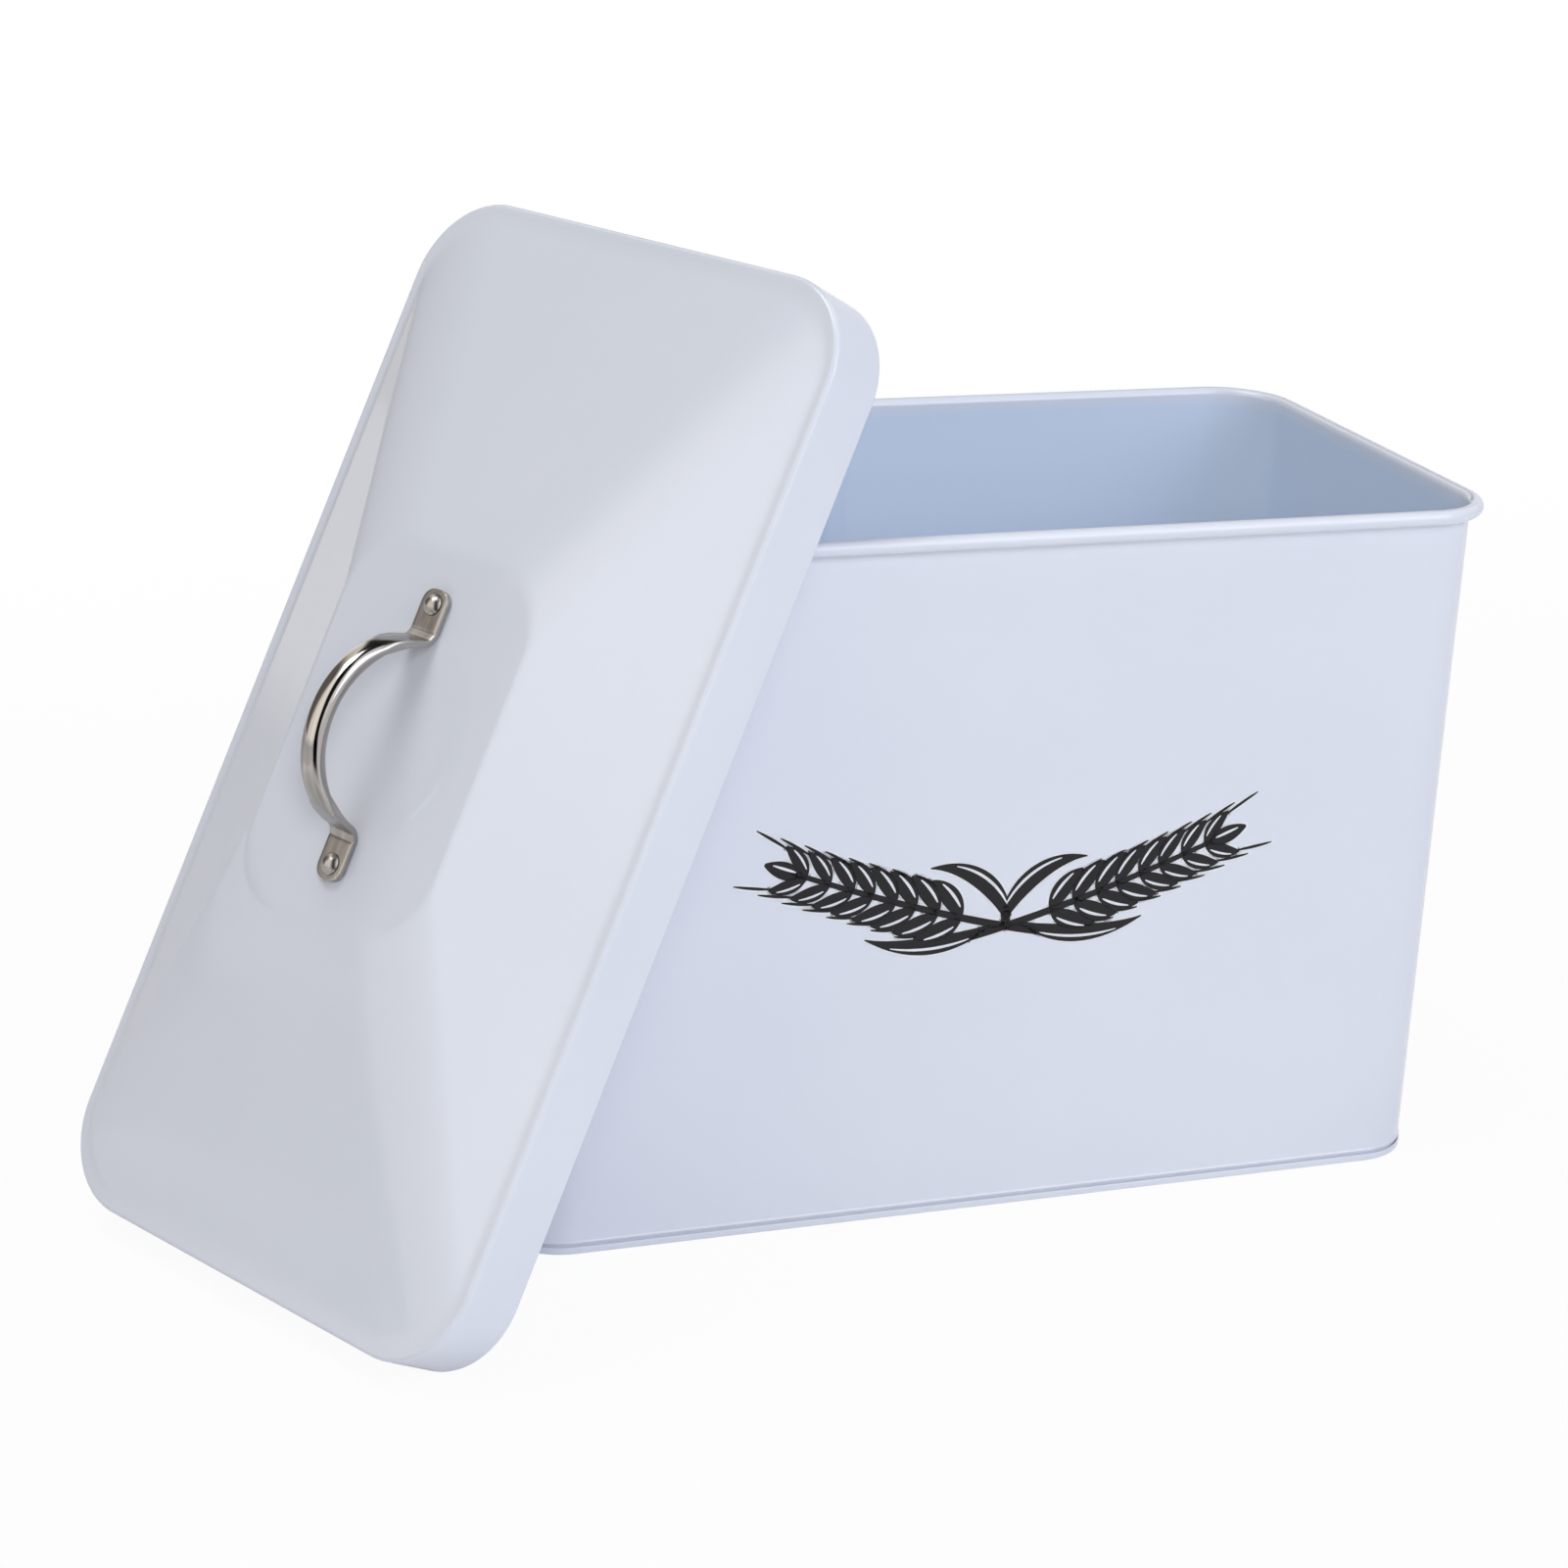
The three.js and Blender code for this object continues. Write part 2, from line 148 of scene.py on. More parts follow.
def makePiece(name, grid, node, body, material, loop=False, smooth=50):
    # A grid of points (rows, columns) becomes one mesh. Columns always join round to the first.
    # Rows do so in a loop; otherwise a flat face closes the first row and the last.
    rows, columns = grid.shape[:2]
    index = np.arange(rows * columns).reshape(rows, columns)
    low = index if loop else index[:-1]
    high = np.roll(index, -1, axis=0) if loop else index[1:]
    quads = np.stack([low, np.roll(low, -1, 1), np.roll(high, -1, 1), high], axis=2).reshape(-1, 4)
    faces = quads.tolist()
    if not loop:
        faces += [index[0][::-1].tolist(), index[-1].tolist()]
    points = grid.reshape(-1, 3)
    mesh = bpy.data.meshes.new(name)
    mesh.from_pydata(points, [], faces)
    mesh.update()
    if meshVolume(points, quads) < 0:
        mesh.flip_normals()
    mesh.shade_smooth()
    mesh.set_sharp_from_angle(angle=math.radians(smooth))
    obj = bpy.data.objects.new(name, mesh)
    bpy.context.scene.collection.objects.link(obj)
    mesh.materials.append(material)
    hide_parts(node)
    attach(obj, body)
    return obj


def addShare(obj, name, values):
    # one number per vertex, which a material reads by name
    layer = obj.data.attributes.new(name, "FLOAT", "POINT")
    layer.data.foreach_set("value", np.ascontiguousarray(values, dtype=np.float32).ravel())


class NodePen:
    # short way to write a node tree
    def __init__(self, name):
        self.material = bpy.data.materials.new(name)
        self.material.use_nodes = True
        self.tree = self.material.node_tree
        self.surface = self.tree.nodes["Principled BSDF"]

    def add(self, kind, settings=None, **inputs):
        node = self.tree.nodes.new(kind)
        for key, value in (settings or {}).items():
            setattr(node, key, value)
        for key, value in inputs.items():
            self.put(value, node.inputs[key.replace("_", " ")])
        return node

    def put(self, value, socket):
        if isinstance(value, bpy.types.NodeSocket):
            self.tree.links.new(value, socket)
        else:
            socket.default_value = value

    def calc(self, operation, *values):
        node = self.tree.nodes.new("ShaderNodeMath")
        node.operation = operation
        for value, socket in zip(values, node.inputs):
            self.put(value, socket)
        return node.outputs[0]

    def blend(self, factor, first, second):
        # colour between two others
        node = self.tree.nodes.new("ShaderNodeMixRGB")
        for value, socket in zip((factor, first, second), node.inputs):
            self.put(value, socket)
        return node.outputs[0]

    def ramp(self, factor, span, first, second):
        # from the first colour to the second while the factor runs over the span
        node = self.tree.nodes.new("ShaderNodeValToRGB")
        self.tree.links.new(factor, node.inputs["Fac"])
        for stop, place, colour in zip(node.color_ramp.elements, span, (first, second)):
            stop.position = place
            stop.color = colour
        return node.outputs["Color"]


def grey(value):
    return (value, value, value, 1)


enamel = {
    "colour": (0.764, 0.791, 0.877, 1),
    "paler": (0.786, 0.810, 0.890, 1),
    # painted bounce light: the inside faces take this bluer colour for the bluish light that bounces round
    # in the hollows
    "inside": (0.695, 0.788, 0.930, 1),
    "patch": 9.0,                 # drift of colour and gloss, in patches per metre
    "patchSpan": (0.35, 0.65),    # of its noise, from the colour to the paler one
    "roughness": (0.035, 0.075),
    "glossSpan": (0.3, 0.7),      # the same for the roughness
    "peel": 620,                  # orange peel, in bumps per metre
    "peelHeight": 0.000004,
    "flow": 48,                   # slow ripples of the baked coat, per metre
    "flowHeight": 0.00004,
}


def makeEnamel():
    # white baked coat: slow drift of colour and gloss, slow ripples and a fine orange peel.
    # The attribute "inner" is 1 on the faces inside, which get a bluer colour as painted light: it stands
    # in for the bluish bounce light in the hollows.
    pen = NodePen("whiteEnamel")
    place = pen.add("ShaderNodeTexCoord").outputs["Object"]
    drift = pen.add("ShaderNodeTexNoise", Vector=place, Scale=enamel["patch"], Detail=2.0)
    tint = pen.ramp(drift.outputs["Fac"], enamel["patchSpan"], enamel["colour"], enamel["paler"])
    inner = pen.add("ShaderNodeAttribute", {"attribute_name": "inner"}).outputs["Fac"]
    # painted bounce light: the inside faces get the bluer colour
    pen.put(pen.blend(inner, tint, enamel["inside"]), pen.surface.inputs["Base Color"])
    low, high = enamel["roughness"]
    gloss = pen.ramp(drift.outputs["Fac"], enamel["glossSpan"], grey(low), grey(high))
    pen.put(gloss, pen.surface.inputs["Roughness"])
    flow = pen.add("ShaderNodeTexNoise", Vector=place, Scale=enamel["flow"], Detail=1.0)
    ripples = pen.add(
        "ShaderNodeBump", Height=flow.outputs["Fac"], Strength=1.0, Distance=enamel["flowHeight"]
    )
    peel = pen.add("ShaderNodeTexNoise", Vector=place, Scale=enamel["peel"], Detail=2.0, Roughness=0.6)
    skin = pen.add(
        "ShaderNodeBump",
        Height=peel.outputs["Fac"],
        Strength=1.0,
        Distance=enamel["peelHeight"],
        Normal=ripples.outputs["Normal"],
    )
    pen.put(skin.outputs["Normal"], pen.surface.inputs["Normal"])
    pen.surface.inputs["IOR"].default_value = 1.5
    return pen.material


nickel = {
    "dark": (0.29, 0.268, 0.252, 1),
    "light": (0.53, 0.504, 0.484, 1),
    "roughness": (0.32, 0.12),    # on the flat tabs and on the polished grip
    "hairs": (40, 2600),          # fine brush marks along and across the bar, per metre
    "streaks": (24, 420),         # broad streaks
    "streakSpan": (0.30, 0.68),   # of their noise, from dark to light
    "hairHeight": 0.000010,
    "grain": 0.16,                # how far the hairs vary the roughness
}


def makeNickel():
    # plate on a drawn bar: fine hairs and broad streaks along the bar in warm grey. The
    # attribute "polish" runs from the satin tabs (0) to the bright grip (1).
    pen = NodePen("satinNickel")
    along = pen.add("ShaderNodeUVMap", {"uv_map": "barMap"}).outputs["UV"]

    def brushed(scale, detail):
        stretch = pen.add("ShaderNodeMapping", Vector=along, Scale=(*scale, 1))
        noise = pen.add(
            "ShaderNodeTexNoise", Vector=stretch.outputs["Vector"], Scale=1.0, Detail=detail, Roughness=0.6
        )
        return noise.outputs["Fac"]

    hairs = brushed(nickel["hairs"], 2.0)
    streaks = brushed(nickel["streaks"], 3.0)
    tint = pen.ramp(streaks, nickel["streakSpan"], nickel["dark"], nickel["light"])
    pen.put(tint, pen.surface.inputs["Base Color"])
    polish = pen.add("ShaderNodeAttribute", {"attribute_name": "polish"}).outputs["Fac"]
    satin, bright = nickel["roughness"]
    level = pen.calc("MULTIPLY_ADD", polish, bright - satin, satin)
    grain = pen.calc("MULTIPLY_ADD", hairs, nickel["grain"], -nickel["grain"] / 2)
    pen.put(pen.calc("ADD", level, grain), pen.surface.inputs["Roughness"])
    scratch = pen.add("ShaderNodeBump", Height=hairs, Strength=0.6, Distance=nickel["hairHeight"])
    pen.put(scratch.outputs["Normal"], pen.surface.inputs["Normal"])
    pen.surface.inputs["Metallic"].default_value = 1.0
    return pen.material


ink = {
    "black": ((0.015, 0.014, 0.016), 0.30),    # colour and roughness
    "white": ((0.86, 0.87, 0.90), 0.28),
    "mottle": 240,             # patches per metre
    "mottleSpan": (0.3, 0.7),  # of its noise, from dark patches to plain ones
    "deeper": 0.86,            # share of the colour that is left in the dark patches
    "duller": 0.06,            # how much rougher the plain ones are
    "shine": 0.25,
    "toothHeight": 0.00001,
}


def makeInk(name, colour, rough):
    # printed coat: nearly even, with a faint mottle and a fine tooth
    pen = NodePen(name)
    place = pen.add("ShaderNodeTexCoord").outputs["Object"]
    mottle = pen.add("ShaderNodeTexNoise", Vector=place, Scale=ink["mottle"], Detail=3.0)
    deeper = tuple(c * ink["deeper"] for c in colour)
    tint = pen.ramp(mottle.outputs["Fac"], ink["mottleSpan"], (*deeper, 1), (*colour, 1))
    pen.put(tint, pen.surface.inputs["Base Color"])
    gloss = pen.ramp(mottle.outputs["Fac"], ink["mottleSpan"], grey(rough), grey(rough + ink["duller"]))
    pen.put(gloss, pen.surface.inputs["Roughness"])
    pen.surface.inputs["Specular IOR Level"].default_value = ink["shine"]
    tooth = pen.add(
        "ShaderNodeBump", Height=mottle.outputs["Fac"], Strength=0.4, Distance=ink["toothHeight"]
    )
    pen.put(tooth.outputs["Normal"], pen.surface.inputs["Normal"])
    return pen.material


whiteEnamel = makeEnamel()
satinNickel = makeNickel()
blackInk = makeInk("blackInk", *ink["black"])
whiteInk = makeInk("whiteInk", *ink["white"])
print("materials ready")


def makeWall():
    # profile of (out, z) carried round the box: up the outside, round the inside of the roll
    # to its end, back round its outside, down the inside, over the lap, to the foot
    b = box
    rollOut = b["rollRadius"] - b["sheet"]
    rollLevel = b["height"] - b["rollRadius"]
    rollEnd = -math.acos((b["rollEndGap"] - rollOut) / b["rollRadius"])
    neckFoot = b["neckTop"] - b["neckRise"]
    foot = b["sheet"] + b["seatGap"]
    neck = np.linspace(0, 1, 7)
    neckLevel = (b["neckTop"] - neckFoot) * neck
    joggle = (1 - np.cos(np.pi * neck)) / 2
    bead = np.linspace(0, 1, 13)[1:]
    lapTop = rollLevel - b["lapTop"]
    lapFoot = b["neckTop"] + b["lapFoot"]
    outside = [
        np.array([[-b["neckDepth"], foot]]),
        np.stack([-b["neckDepth"] * (1 - joggle), neckFoot + neckLevel], 1),
        np.stack([b["bead"] * np.sin(np.pi * bead) ** 2, b["neckTop"] + b["beadRise"] * bead], 1),
        lineProfile((0, b["neckTop"] + b["beadRise"]), (0, rollLevel), 36),
        arcProfile(rollOut, rollLevel, rollOut, math.pi, rollEnd, 36),
        arcProfile(rollOut, rollLevel, b["rollRadius"], rollEnd, math.pi, 40),
    ]
    inside = [
        np.array([[-b["sheet"], lapTop], [-b["sheet"], lapTop - b["lapRamp"]]]),
        lineProfile((-b["sheet"], lapTop - b["lapRamp"]), (-b["sheet"], lapFoot + b["lapRamp"]), 36),
        np.array([[-b["sheet"], lapFoot + b["lapRamp"]], [-b["sheet"], lapFoot]]),
        np.stack([-b["sheet"] - b["neckDepth"] * joggle, b["neckTop"] - neckLevel], 1),
        np.array([[-b["sheet"] - b["neckDepth"], foot]]),
    ]
    profile = np.concatenate(outside + inside)
    out, z = profile[:, 0], profile[:, 1]
    inner = np.arange(len(profile)) >= sum(len(p) for p in outside)
    lapRow = inner & (z <= lapTop - b["lapRamp"] / 2) & (z >= lapFoot + b["lapRamp"] / 2)
    straight = b["halfLength"] - b["cornerRadius"]
    edge = b["lapHalfWidth"]
    marks = np.array([-edge - b["lapRamp"], -edge, edge, edge + b["lapRamp"]]) / straight
    columns = aroundColumns(24, 56, 28, marks)
    grid = roundedRings(columns, b["halfLength"] + out, b["halfWidth"] + out, b["cornerRadius"] + out, z)
    shareX, shareY, angle = columns
    onLap = (angle == np.pi / 2) & (np.abs(shareX) < (edge + b["lapRamp"] / 2) / straight)
    grid[:, :, 1] -= b["sheet"] * (lapRow[:, None] & onLap[None, :])
    onLong = np.abs(np.sin(angle)) > 0.999
    onShort = np.abs(np.cos(angle)) > 0.999
    middle = midWall(np.where(onLong, shareX, shareY)) * (onLong | onShort)
    bow = sheetWave(grid[:, :, 0] + grid[:, :, 1], grid[:, :, 2]) * middle
    grid[:, :, 0] += bow * np.cos(angle)
    grid[:, :, 1] += bow * np.sin(angle)
    obj = makePiece("binWall", grid + binPlace, "bin_wall", "bin", whiteEnamel, loop=True)
    # the inside faces, which get the painted bluish bounce light
    addShare(obj, "inner", np.repeat(inner, grid.shape[1]))


base = {
    "recess": 3.2 * mm,        # height of the panel's underside
    "bend": 1.2 * mm,
    "foot": 0.5 * mm,          # radius under the seam
    "band": 2.4 * mm,          # height of the seam outside
}


def makeBase():
    # profile from the panel's underside over the bend, down inside the wall's foot, under it,
    # up again outside as the seam's band, back down between them and over the bend to the
    # panel's top
    b = box
    legOut = -b["neckDepth"] - b["sheet"] - b["seatGap"]
    legIn = legOut - b["sheet"]
    bandIn = -b["neckDepth"] + b["seatGap"]
    bandOut = bandIn + b["sheet"]
    bend, foot = base["bend"], base["foot"]
    top = base["recess"] + b["sheet"]
    lip = b["sheet"] / 2
    quarter = math.pi / 2
    panelTop = arcProfile(legOut - bend, top - bend, bend, 0, quarter, 6)
    profile = np.concatenate([
        arcProfile(legOut - bend, top - bend, bend - b["sheet"], quarter, 0, 6),
        arcProfile(legIn + foot, foot, foot, 2 * quarter, 3 * quarter, 6),
        arcProfile(bandOut - foot, foot, foot, 3 * quarter, 4 * quarter, 6),
        arcProfile(bandIn + lip, base["band"] - lip, lip, 0, 2 * quarter, 8),
        np.array([[bandIn, b["sheet"]], [legOut, b["sheet"]]]),
        panelTop,
    ])
    out, z = profile[:, 0], profile[:, 1]
    columns = aroundColumns(24, 20, 10)
    grid = roundedRings(columns, b["halfLength"] + out, b["halfWidth"] + out, b["cornerRadius"] + out, z)
    obj = makePiece("binBase", grid + binPlace, "bin_base", "bin", whiteEnamel)
    # the panel's top, inside the box, gets the painted bluish bounce light
    inner = np.arange(len(profile)) >= len(profile) - len(panelTop)
    addShare(obj, "inner", np.repeat(inner, grid.shape[1]))


makeWall()
makeBase()
print("box ready")

lid = {
    "clearance": 1.5 * mm,
    "trim": 0.02 * mm,       # off the outline, so that its finer corners stay within the CAD model's
    "hem": 1.2 * mm,
    "hemHeight": 4 * mm,
    "hemRamp": 0.5 * mm,
    "skirt": 22 * mm,
    "shoulder": 1.5 * mm,
    "margin": 3.0 * mm,
    "plateauHalfLength": 57 * mm,
    "plateauHalfWidth": 40.5 * mm,
    "plateauRadius": 23 * mm,
    "height": 46.5 * mm,
    "footBlend": 0.05,
    "crownBlend": 0.05,
    "lean": math.radians(27.4),       # from upright
    "heading": math.radians(25.4),    # of the lean, from +X towards +Y
}
lidReach = 2 * box["rollRadius"] - box["sheet"] + lid["clearance"] + lid["hem"] - lid["trim"]
lidHalfLength = box["halfLength"] + lidReach
lidHalfWidth = box["halfWidth"] + lidReach
lidCorner = box["cornerRadius"] + lidReach


def lidAxes():
    # along the lid's long side (upwards), across it, and out of its dome
    tilt, heading = lid["lean"], lid["heading"]
    flat = np.array([math.cos(heading), math.sin(heading), 0])
    up = np.array([0, 0, 1.0])
    along = math.cos(tilt) * up + math.sin(tilt) * flat
    outward = math.sin(tilt) * up - math.cos(tilt) * flat
    return np.stack([along, np.cross(outward, along), outward])


def slopeShare(reach):
    # Height of the slopes as a share of their rise. The steepness grows evenly over the foot
    # blend, holds, and fades evenly over the crown blend, so the height is its running sum.
    f, c = lid["footBlend"], lid["crownBlend"]
    foot = np.minimum(reach, f)
    crown = np.maximum(reach - (1 - c), 0)
    return (foot ** 2 / (2 * f) + (reach - foot) - crown ** 2 / (2 * c)) / (1 - (f + c) / 2)


def domeRows(drop, rows):
    # rings from the margin's inner edge to the plateau's edge, with sizes that run evenly
    # from the one to the other: size = a + (b - a) reach
    foot, crown = lid["footBlend"], 1 - lid["crownBlend"]
    reach = np.unique(np.concatenate([
        np.linspace(0, foot, 12), np.linspace(foot, crown, rows), np.linspace(crown, 1, 12)
    ]))
    level = lid["skirt"] + (lid["height"] - lid["skirt"]) * slopeShare(reach) - drop
    outer = np.array([lidHalfLength, lidHalfWidth, lidCorner]) - lid["margin"]
    inner = np.array([lid["plateauHalfLength"], lid["plateauHalfWidth"], lid["plateauRadius"]])
    sizes = outer + (inner - outer) * reach[:, None]
    return np.concatenate([sizes, level[:, None]], axis=1)


def insetRows(profile):
    # rings of the skirt and margin, each an inset from the lid's outer edge and a level
    inset, level = profile[:, 0], profile[:, 1]
    return np.stack([lidHalfLength - inset, lidHalfWidth - inset, lidCorner - inset, level], axis=1)


def makeShell():
    # down from the ceiling inside, round the hem, up the skirt, over the shoulder and the
    # margin, up the slopes to the plateau; also says which rings are inside
    sheet, quarter = box["sheet"], math.pi / 2
    s, r = lid["shoulder"], lid["hem"] / 2
    mirror = np.array([-1, 1])
    innerShoulder = mirror * arcProfile(-s, lid["skirt"] - s, s - sheet, quarter, 0, 8)
    hem = mirror * arcProfile(-r, r, r, -2 * quarter, 0, 16)
    shoulder = mirror * arcProfile(-s, lid["skirt"] - s, s, 0, quarter, 12)
    hemRamp = np.array([[sheet, lid["hemHeight"] + lid["hemRamp"]], [lid["hem"], lid["hemHeight"]]])
    skirtRun = lineProfile((0, r), (0, lid["skirt"] - s), 10)
    inside = [domeRows(sheet, 40)[::-1], insetRows(innerShoulder), insetRows(hemRamp)]
    outside = [insetRows(hem), insetRows(skirtRun), insetRows(shoulder), domeRows(0, 40)]
    rings = np.concatenate(inside + outside)
    inner = np.arange(len(rings)) < sum(len(part) for part in inside)
    columns = aroundColumns(28, 48, 28)
    return roundedRings(columns, rings[:, 0], rings[:, 1], rings[:, 2], rings[:, 3]), inner


lidTurn = lidAxes()
shellGrid, shellInner = makeShell()
turnedShell = shellGrid @ lidTurn
shellLow, shellHigh = (np.array(corner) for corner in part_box("lid_shell"))
lidPlace = (shellLow + shellHigh) / 2 - (turnedShell.min((0, 1)) + turnedShell.max((0, 1))) / 2


def onLid(points):
    # from the lid's own frame to its leaning place
    return points @ lidTurn + lidPlace


lidShell = makePiece("lidShell", onLid(shellGrid), "lid_shell", "lid", whiteEnamel)
# the lid's inside faces get the painted bluish bounce light
addShare(lidShell, "inner", np.repeat(shellInner, shellGrid.shape[1]))
print("lid ready, at", (lidPlace / mm).round(2))

handle = {
    "rivetSpacing": 84 * mm,
    "rise": 27.1 * mm,
    "archRadius": 30.5 * mm,
    "bendRadius": 4.5 * mm,
    "tabWidth": 11 * mm,
    "tabThickness": 2.2 * mm,
    "tabOverhang": 5 * mm,
    "gripWidth": 7.8 * mm,
    "gripThickness": 6.6 * mm,
    "gripStart": 0.4,
    "seat": 0.3 * mm,
    "squareness": (9, 2.25),      # of the section, as a superellipse's power: tab and grip
    "rounding": 1.6,              # how much sooner it changes than the width does
    "tabEnd": 2.5,                # the same power for the tab's end
    "tabTip": 0.12,               # angle of the first ring on that end
    "fineReach": 2 * mm,          # the bend's fine steps reach so far past it
    "crease": 0.22 * mm,          # depth of the press marks at the bends
    "creaseMarks": ((0.12, 0.10, 1.0), (0.62, 0.09, 0.6)),    # place on the bend, width, part
    "sides": 64,
}


def handleCurve():
    # Half of the centre line is a run along the tab, a bend upwards and an arc to the top.
    # It is sampled by length; the other half mirrors it. Returns, for each point, its place
    # along and out, the tilt, the share of the grip, the way from the end, the bend's share
    # and the length.
    h = handle
    sweep = math.acos(1 - h["rise"] / (h["archRadius"] + h["bendRadius"]))
    bendStart = (h["archRadius"] + h["bendRadius"]) * math.sin(sweep)
    tabEnd = h["rivetSpacing"] / 2 + h["tabOverhang"]
    run, bend, arch = tabEnd - bendStart, h["bendRadius"] * sweep, h["archRadius"] * sweep
    total = run + bend + arch
    fine = h["fineReach"]
    s = np.unique(np.concatenate([
        h["tabOverhang"] * (1 - np.cos(np.linspace(h["tabTip"], np.pi / 2, 12))),
        np.linspace(h["tabOverhang"], run - fine, 8),
        np.linspace(run - fine, run + bend + fine, 70),
        np.linspace(run + bend + fine, total, 60),
    ]))
    inBend = np.clip((s - run) / h["bendRadius"], 0, sweep)
    inArch = np.maximum(s - run - bend, 0) / h["archRadius"]
    x = -tabEnd + np.minimum(s, run) + h["bendRadius"] * np.sin(inBend)
    x += h["archRadius"] * (np.sin(sweep) - np.sin(sweep - inArch))
    z = h["bendRadius"] * (1 - np.cos(inBend))
    z += h["archRadius"] * (np.cos(sweep - inArch) - np.cos(sweep))
    grip = ease(inArch / sweep / (1 - h["gripStart"]))
    half = {"x": x, "z": z, "tilt": inBend - inArch, "grip": grip, "end": s, "bend": (s - run) / bend}
    whole = {}
    for key, value in half.items():
        sign = -1 if key in ("x", "tilt") else 1
        whole[key] = np.concatenate([value, sign * value[-2::-1]])
    whole["length"] = np.concatenate([s, 2 * total - s[-2::-1]])
    return whole


def makeHandle():
    # section of the bar: a superellipse whose width, thickness and squareness go from the flat
    # tab to the round grip; the tab's end is round, and the bends carry shallow press marks
    h = handle
    c = handleCurve()
    grip = c["grip"]
    toEnd = np.clip(1 - c["end"] / h["tabOverhang"], 0, 1)
    roundEnd = (1 - toEnd ** h["tabEnd"]) ** (1 / h["tabEnd"])
    halfWidth = (h["tabWidth"] + (h["gripWidth"] - h["tabWidth"]) * grip) / 2 * roundEnd
    halfThick = (h["tabThickness"] + (h["gripThickness"] - h["tabThickness"]) * grip) / 2
    flatPower, gripPower = h["squareness"]
    power = 2 / (flatPower + (gripPower - flatPower) * ease(grip * h["rounding"]))
    a = (np.arange(h["sides"]) + 0.5) * 2 * np.pi / h["sides"]

    def bulge(v):
        return np.sign(v)[None, :] * np.abs(v)[None, :] ** power[:, None]

    across = halfWidth[:, None] * bulge(np.cos(a))
    out = halfThick[:, None] * bulge(np.sin(a))
    marks = sum(
        part * np.exp(-((c["bend"] - at) / width) ** 2) for at, width, part in h["creaseMarks"]
    )
    out -= h["crease"] * marks[:, None] * np.clip(np.sin(a), 0, 1)[None, :] ** 0.5
    level = lid["height"] + h["seat"] + h["tabThickness"] / 2
    px = c["x"][:, None] - out * np.sin(c["tilt"])[:, None]
    pz = level + c["z"][:, None] + out * np.cos(c["tilt"])[:, None]
    grid = np.stack([px, across, pz], axis=2)
    obj = makePiece("lidHandle", onLid(grid), "lid_handle", "lid", satinNickel)
    addBarMap(obj, c["length"], np.stack([across, out], axis=2))
    addShare(obj, "polish", np.repeat(grip, h["sides"]))


def addBarMap(obj, length, sections):
    # UV map in metres: u along the bar, v the way round each ring, summed over its steps. The
    # last column's faces end at the ring's full length, so that the map closes without a smear.
    mesh = obj.data
    rows, columns = sections.shape[:2]
    steps = np.linalg.norm(np.roll(sections, -1, axis=1) - sections, axis=2)
    way = np.concatenate([np.zeros((rows, 1)), np.cumsum(steps, axis=1)], axis=1)
    corner = np.zeros(len(mesh.loops), int)
    mesh.loops.foreach_get("vertex_index", corner)
    row, column = corner // columns, corner % columns
    place = np.arange(len(corner))
    lastFace = (place // 4 % columns == columns - 1) & (place < 4 * columns * (rows - 1))
    column = np.where(lastFace & (column == 0), columns, column)
    layer = mesh.uv_layers.new(name="barMap")
    layer.data.foreach_set("uv", np.stack([length[row], way[row, column]], axis=1).ravel())


rivet = {
    "shank": 2 * mm,
    "headRadius": 3.5 * mm,
    "headHeight": 2 * mm,
    "headTip": 0.03,         # angle of the head's last ring
    "tailRadius": 3 * mm,
    "tailHeight": 1 * mm,
    "tailEdge": 0.2 * mm,
    "pole": 0.1 * mm,        # radius of the small flat face that closes the tail
    "mapLength": 8 * mm,     # length of the brush marks' map over the profile
    "polish": 0.15,
    "sides": 40,
}


def makeRivet(name, node, along):
    # profile turned about the rivet's axis: flat tail, shank, and a domed head that is a cap
    # of a sphere
    r = rivet
    top = lid["height"] + handle["seat"] + handle["tabThickness"] + handle["seat"]
    tail = lid["height"] - box["sheet"] - handle["seat"]
    dome = (r["headRadius"] ** 2 + r["headHeight"] ** 2) / (2 * r["headHeight"])
    a = np.linspace(math.asin(r["headRadius"] / dome), r["headTip"], 20)
    cap = np.stack([dome * np.sin(a), top + r["headHeight"] - dome * (1 - np.cos(a))], 1)
    foot, edge, wide = tail - r["tailHeight"], r["tailEdge"], r["tailRadius"]
    profile = np.concatenate([
        np.array([[r["pole"], foot], [wide - edge, foot], [wide, foot + edge], [wide, tail]]),
        np.array([[r["shank"], tail], [r["shank"], top], [r["headRadius"], top]]),
        cap[1:],
    ])
    turn = np.linspace(0, 2 * np.pi, r["sides"], endpoint=False)
    radius, level = profile[:, :1], profile[:, 1:]
    x, y = radius * np.cos(turn), radius * np.sin(turn)
    grid = np.stack([along + x, y, np.broadcast_to(level, x.shape)], axis=2)
    obj = makePiece(name, onLid(grid), node, "lid", satinNickel, smooth=35)
    addBarMap(obj, np.linspace(0, r["mapLength"], len(profile)), np.stack([x, y], axis=2))
    addShare(obj, "polish", np.full(x.size, r["polish"]))


makeHandle()
makeRivet("rivetUpper", "rivet_upper", handle["rivetSpacing"] / 2)
makeRivet("rivetLower", "rivet_lower", -handle["rivetSpacing"] / 2)
print("handle ready")

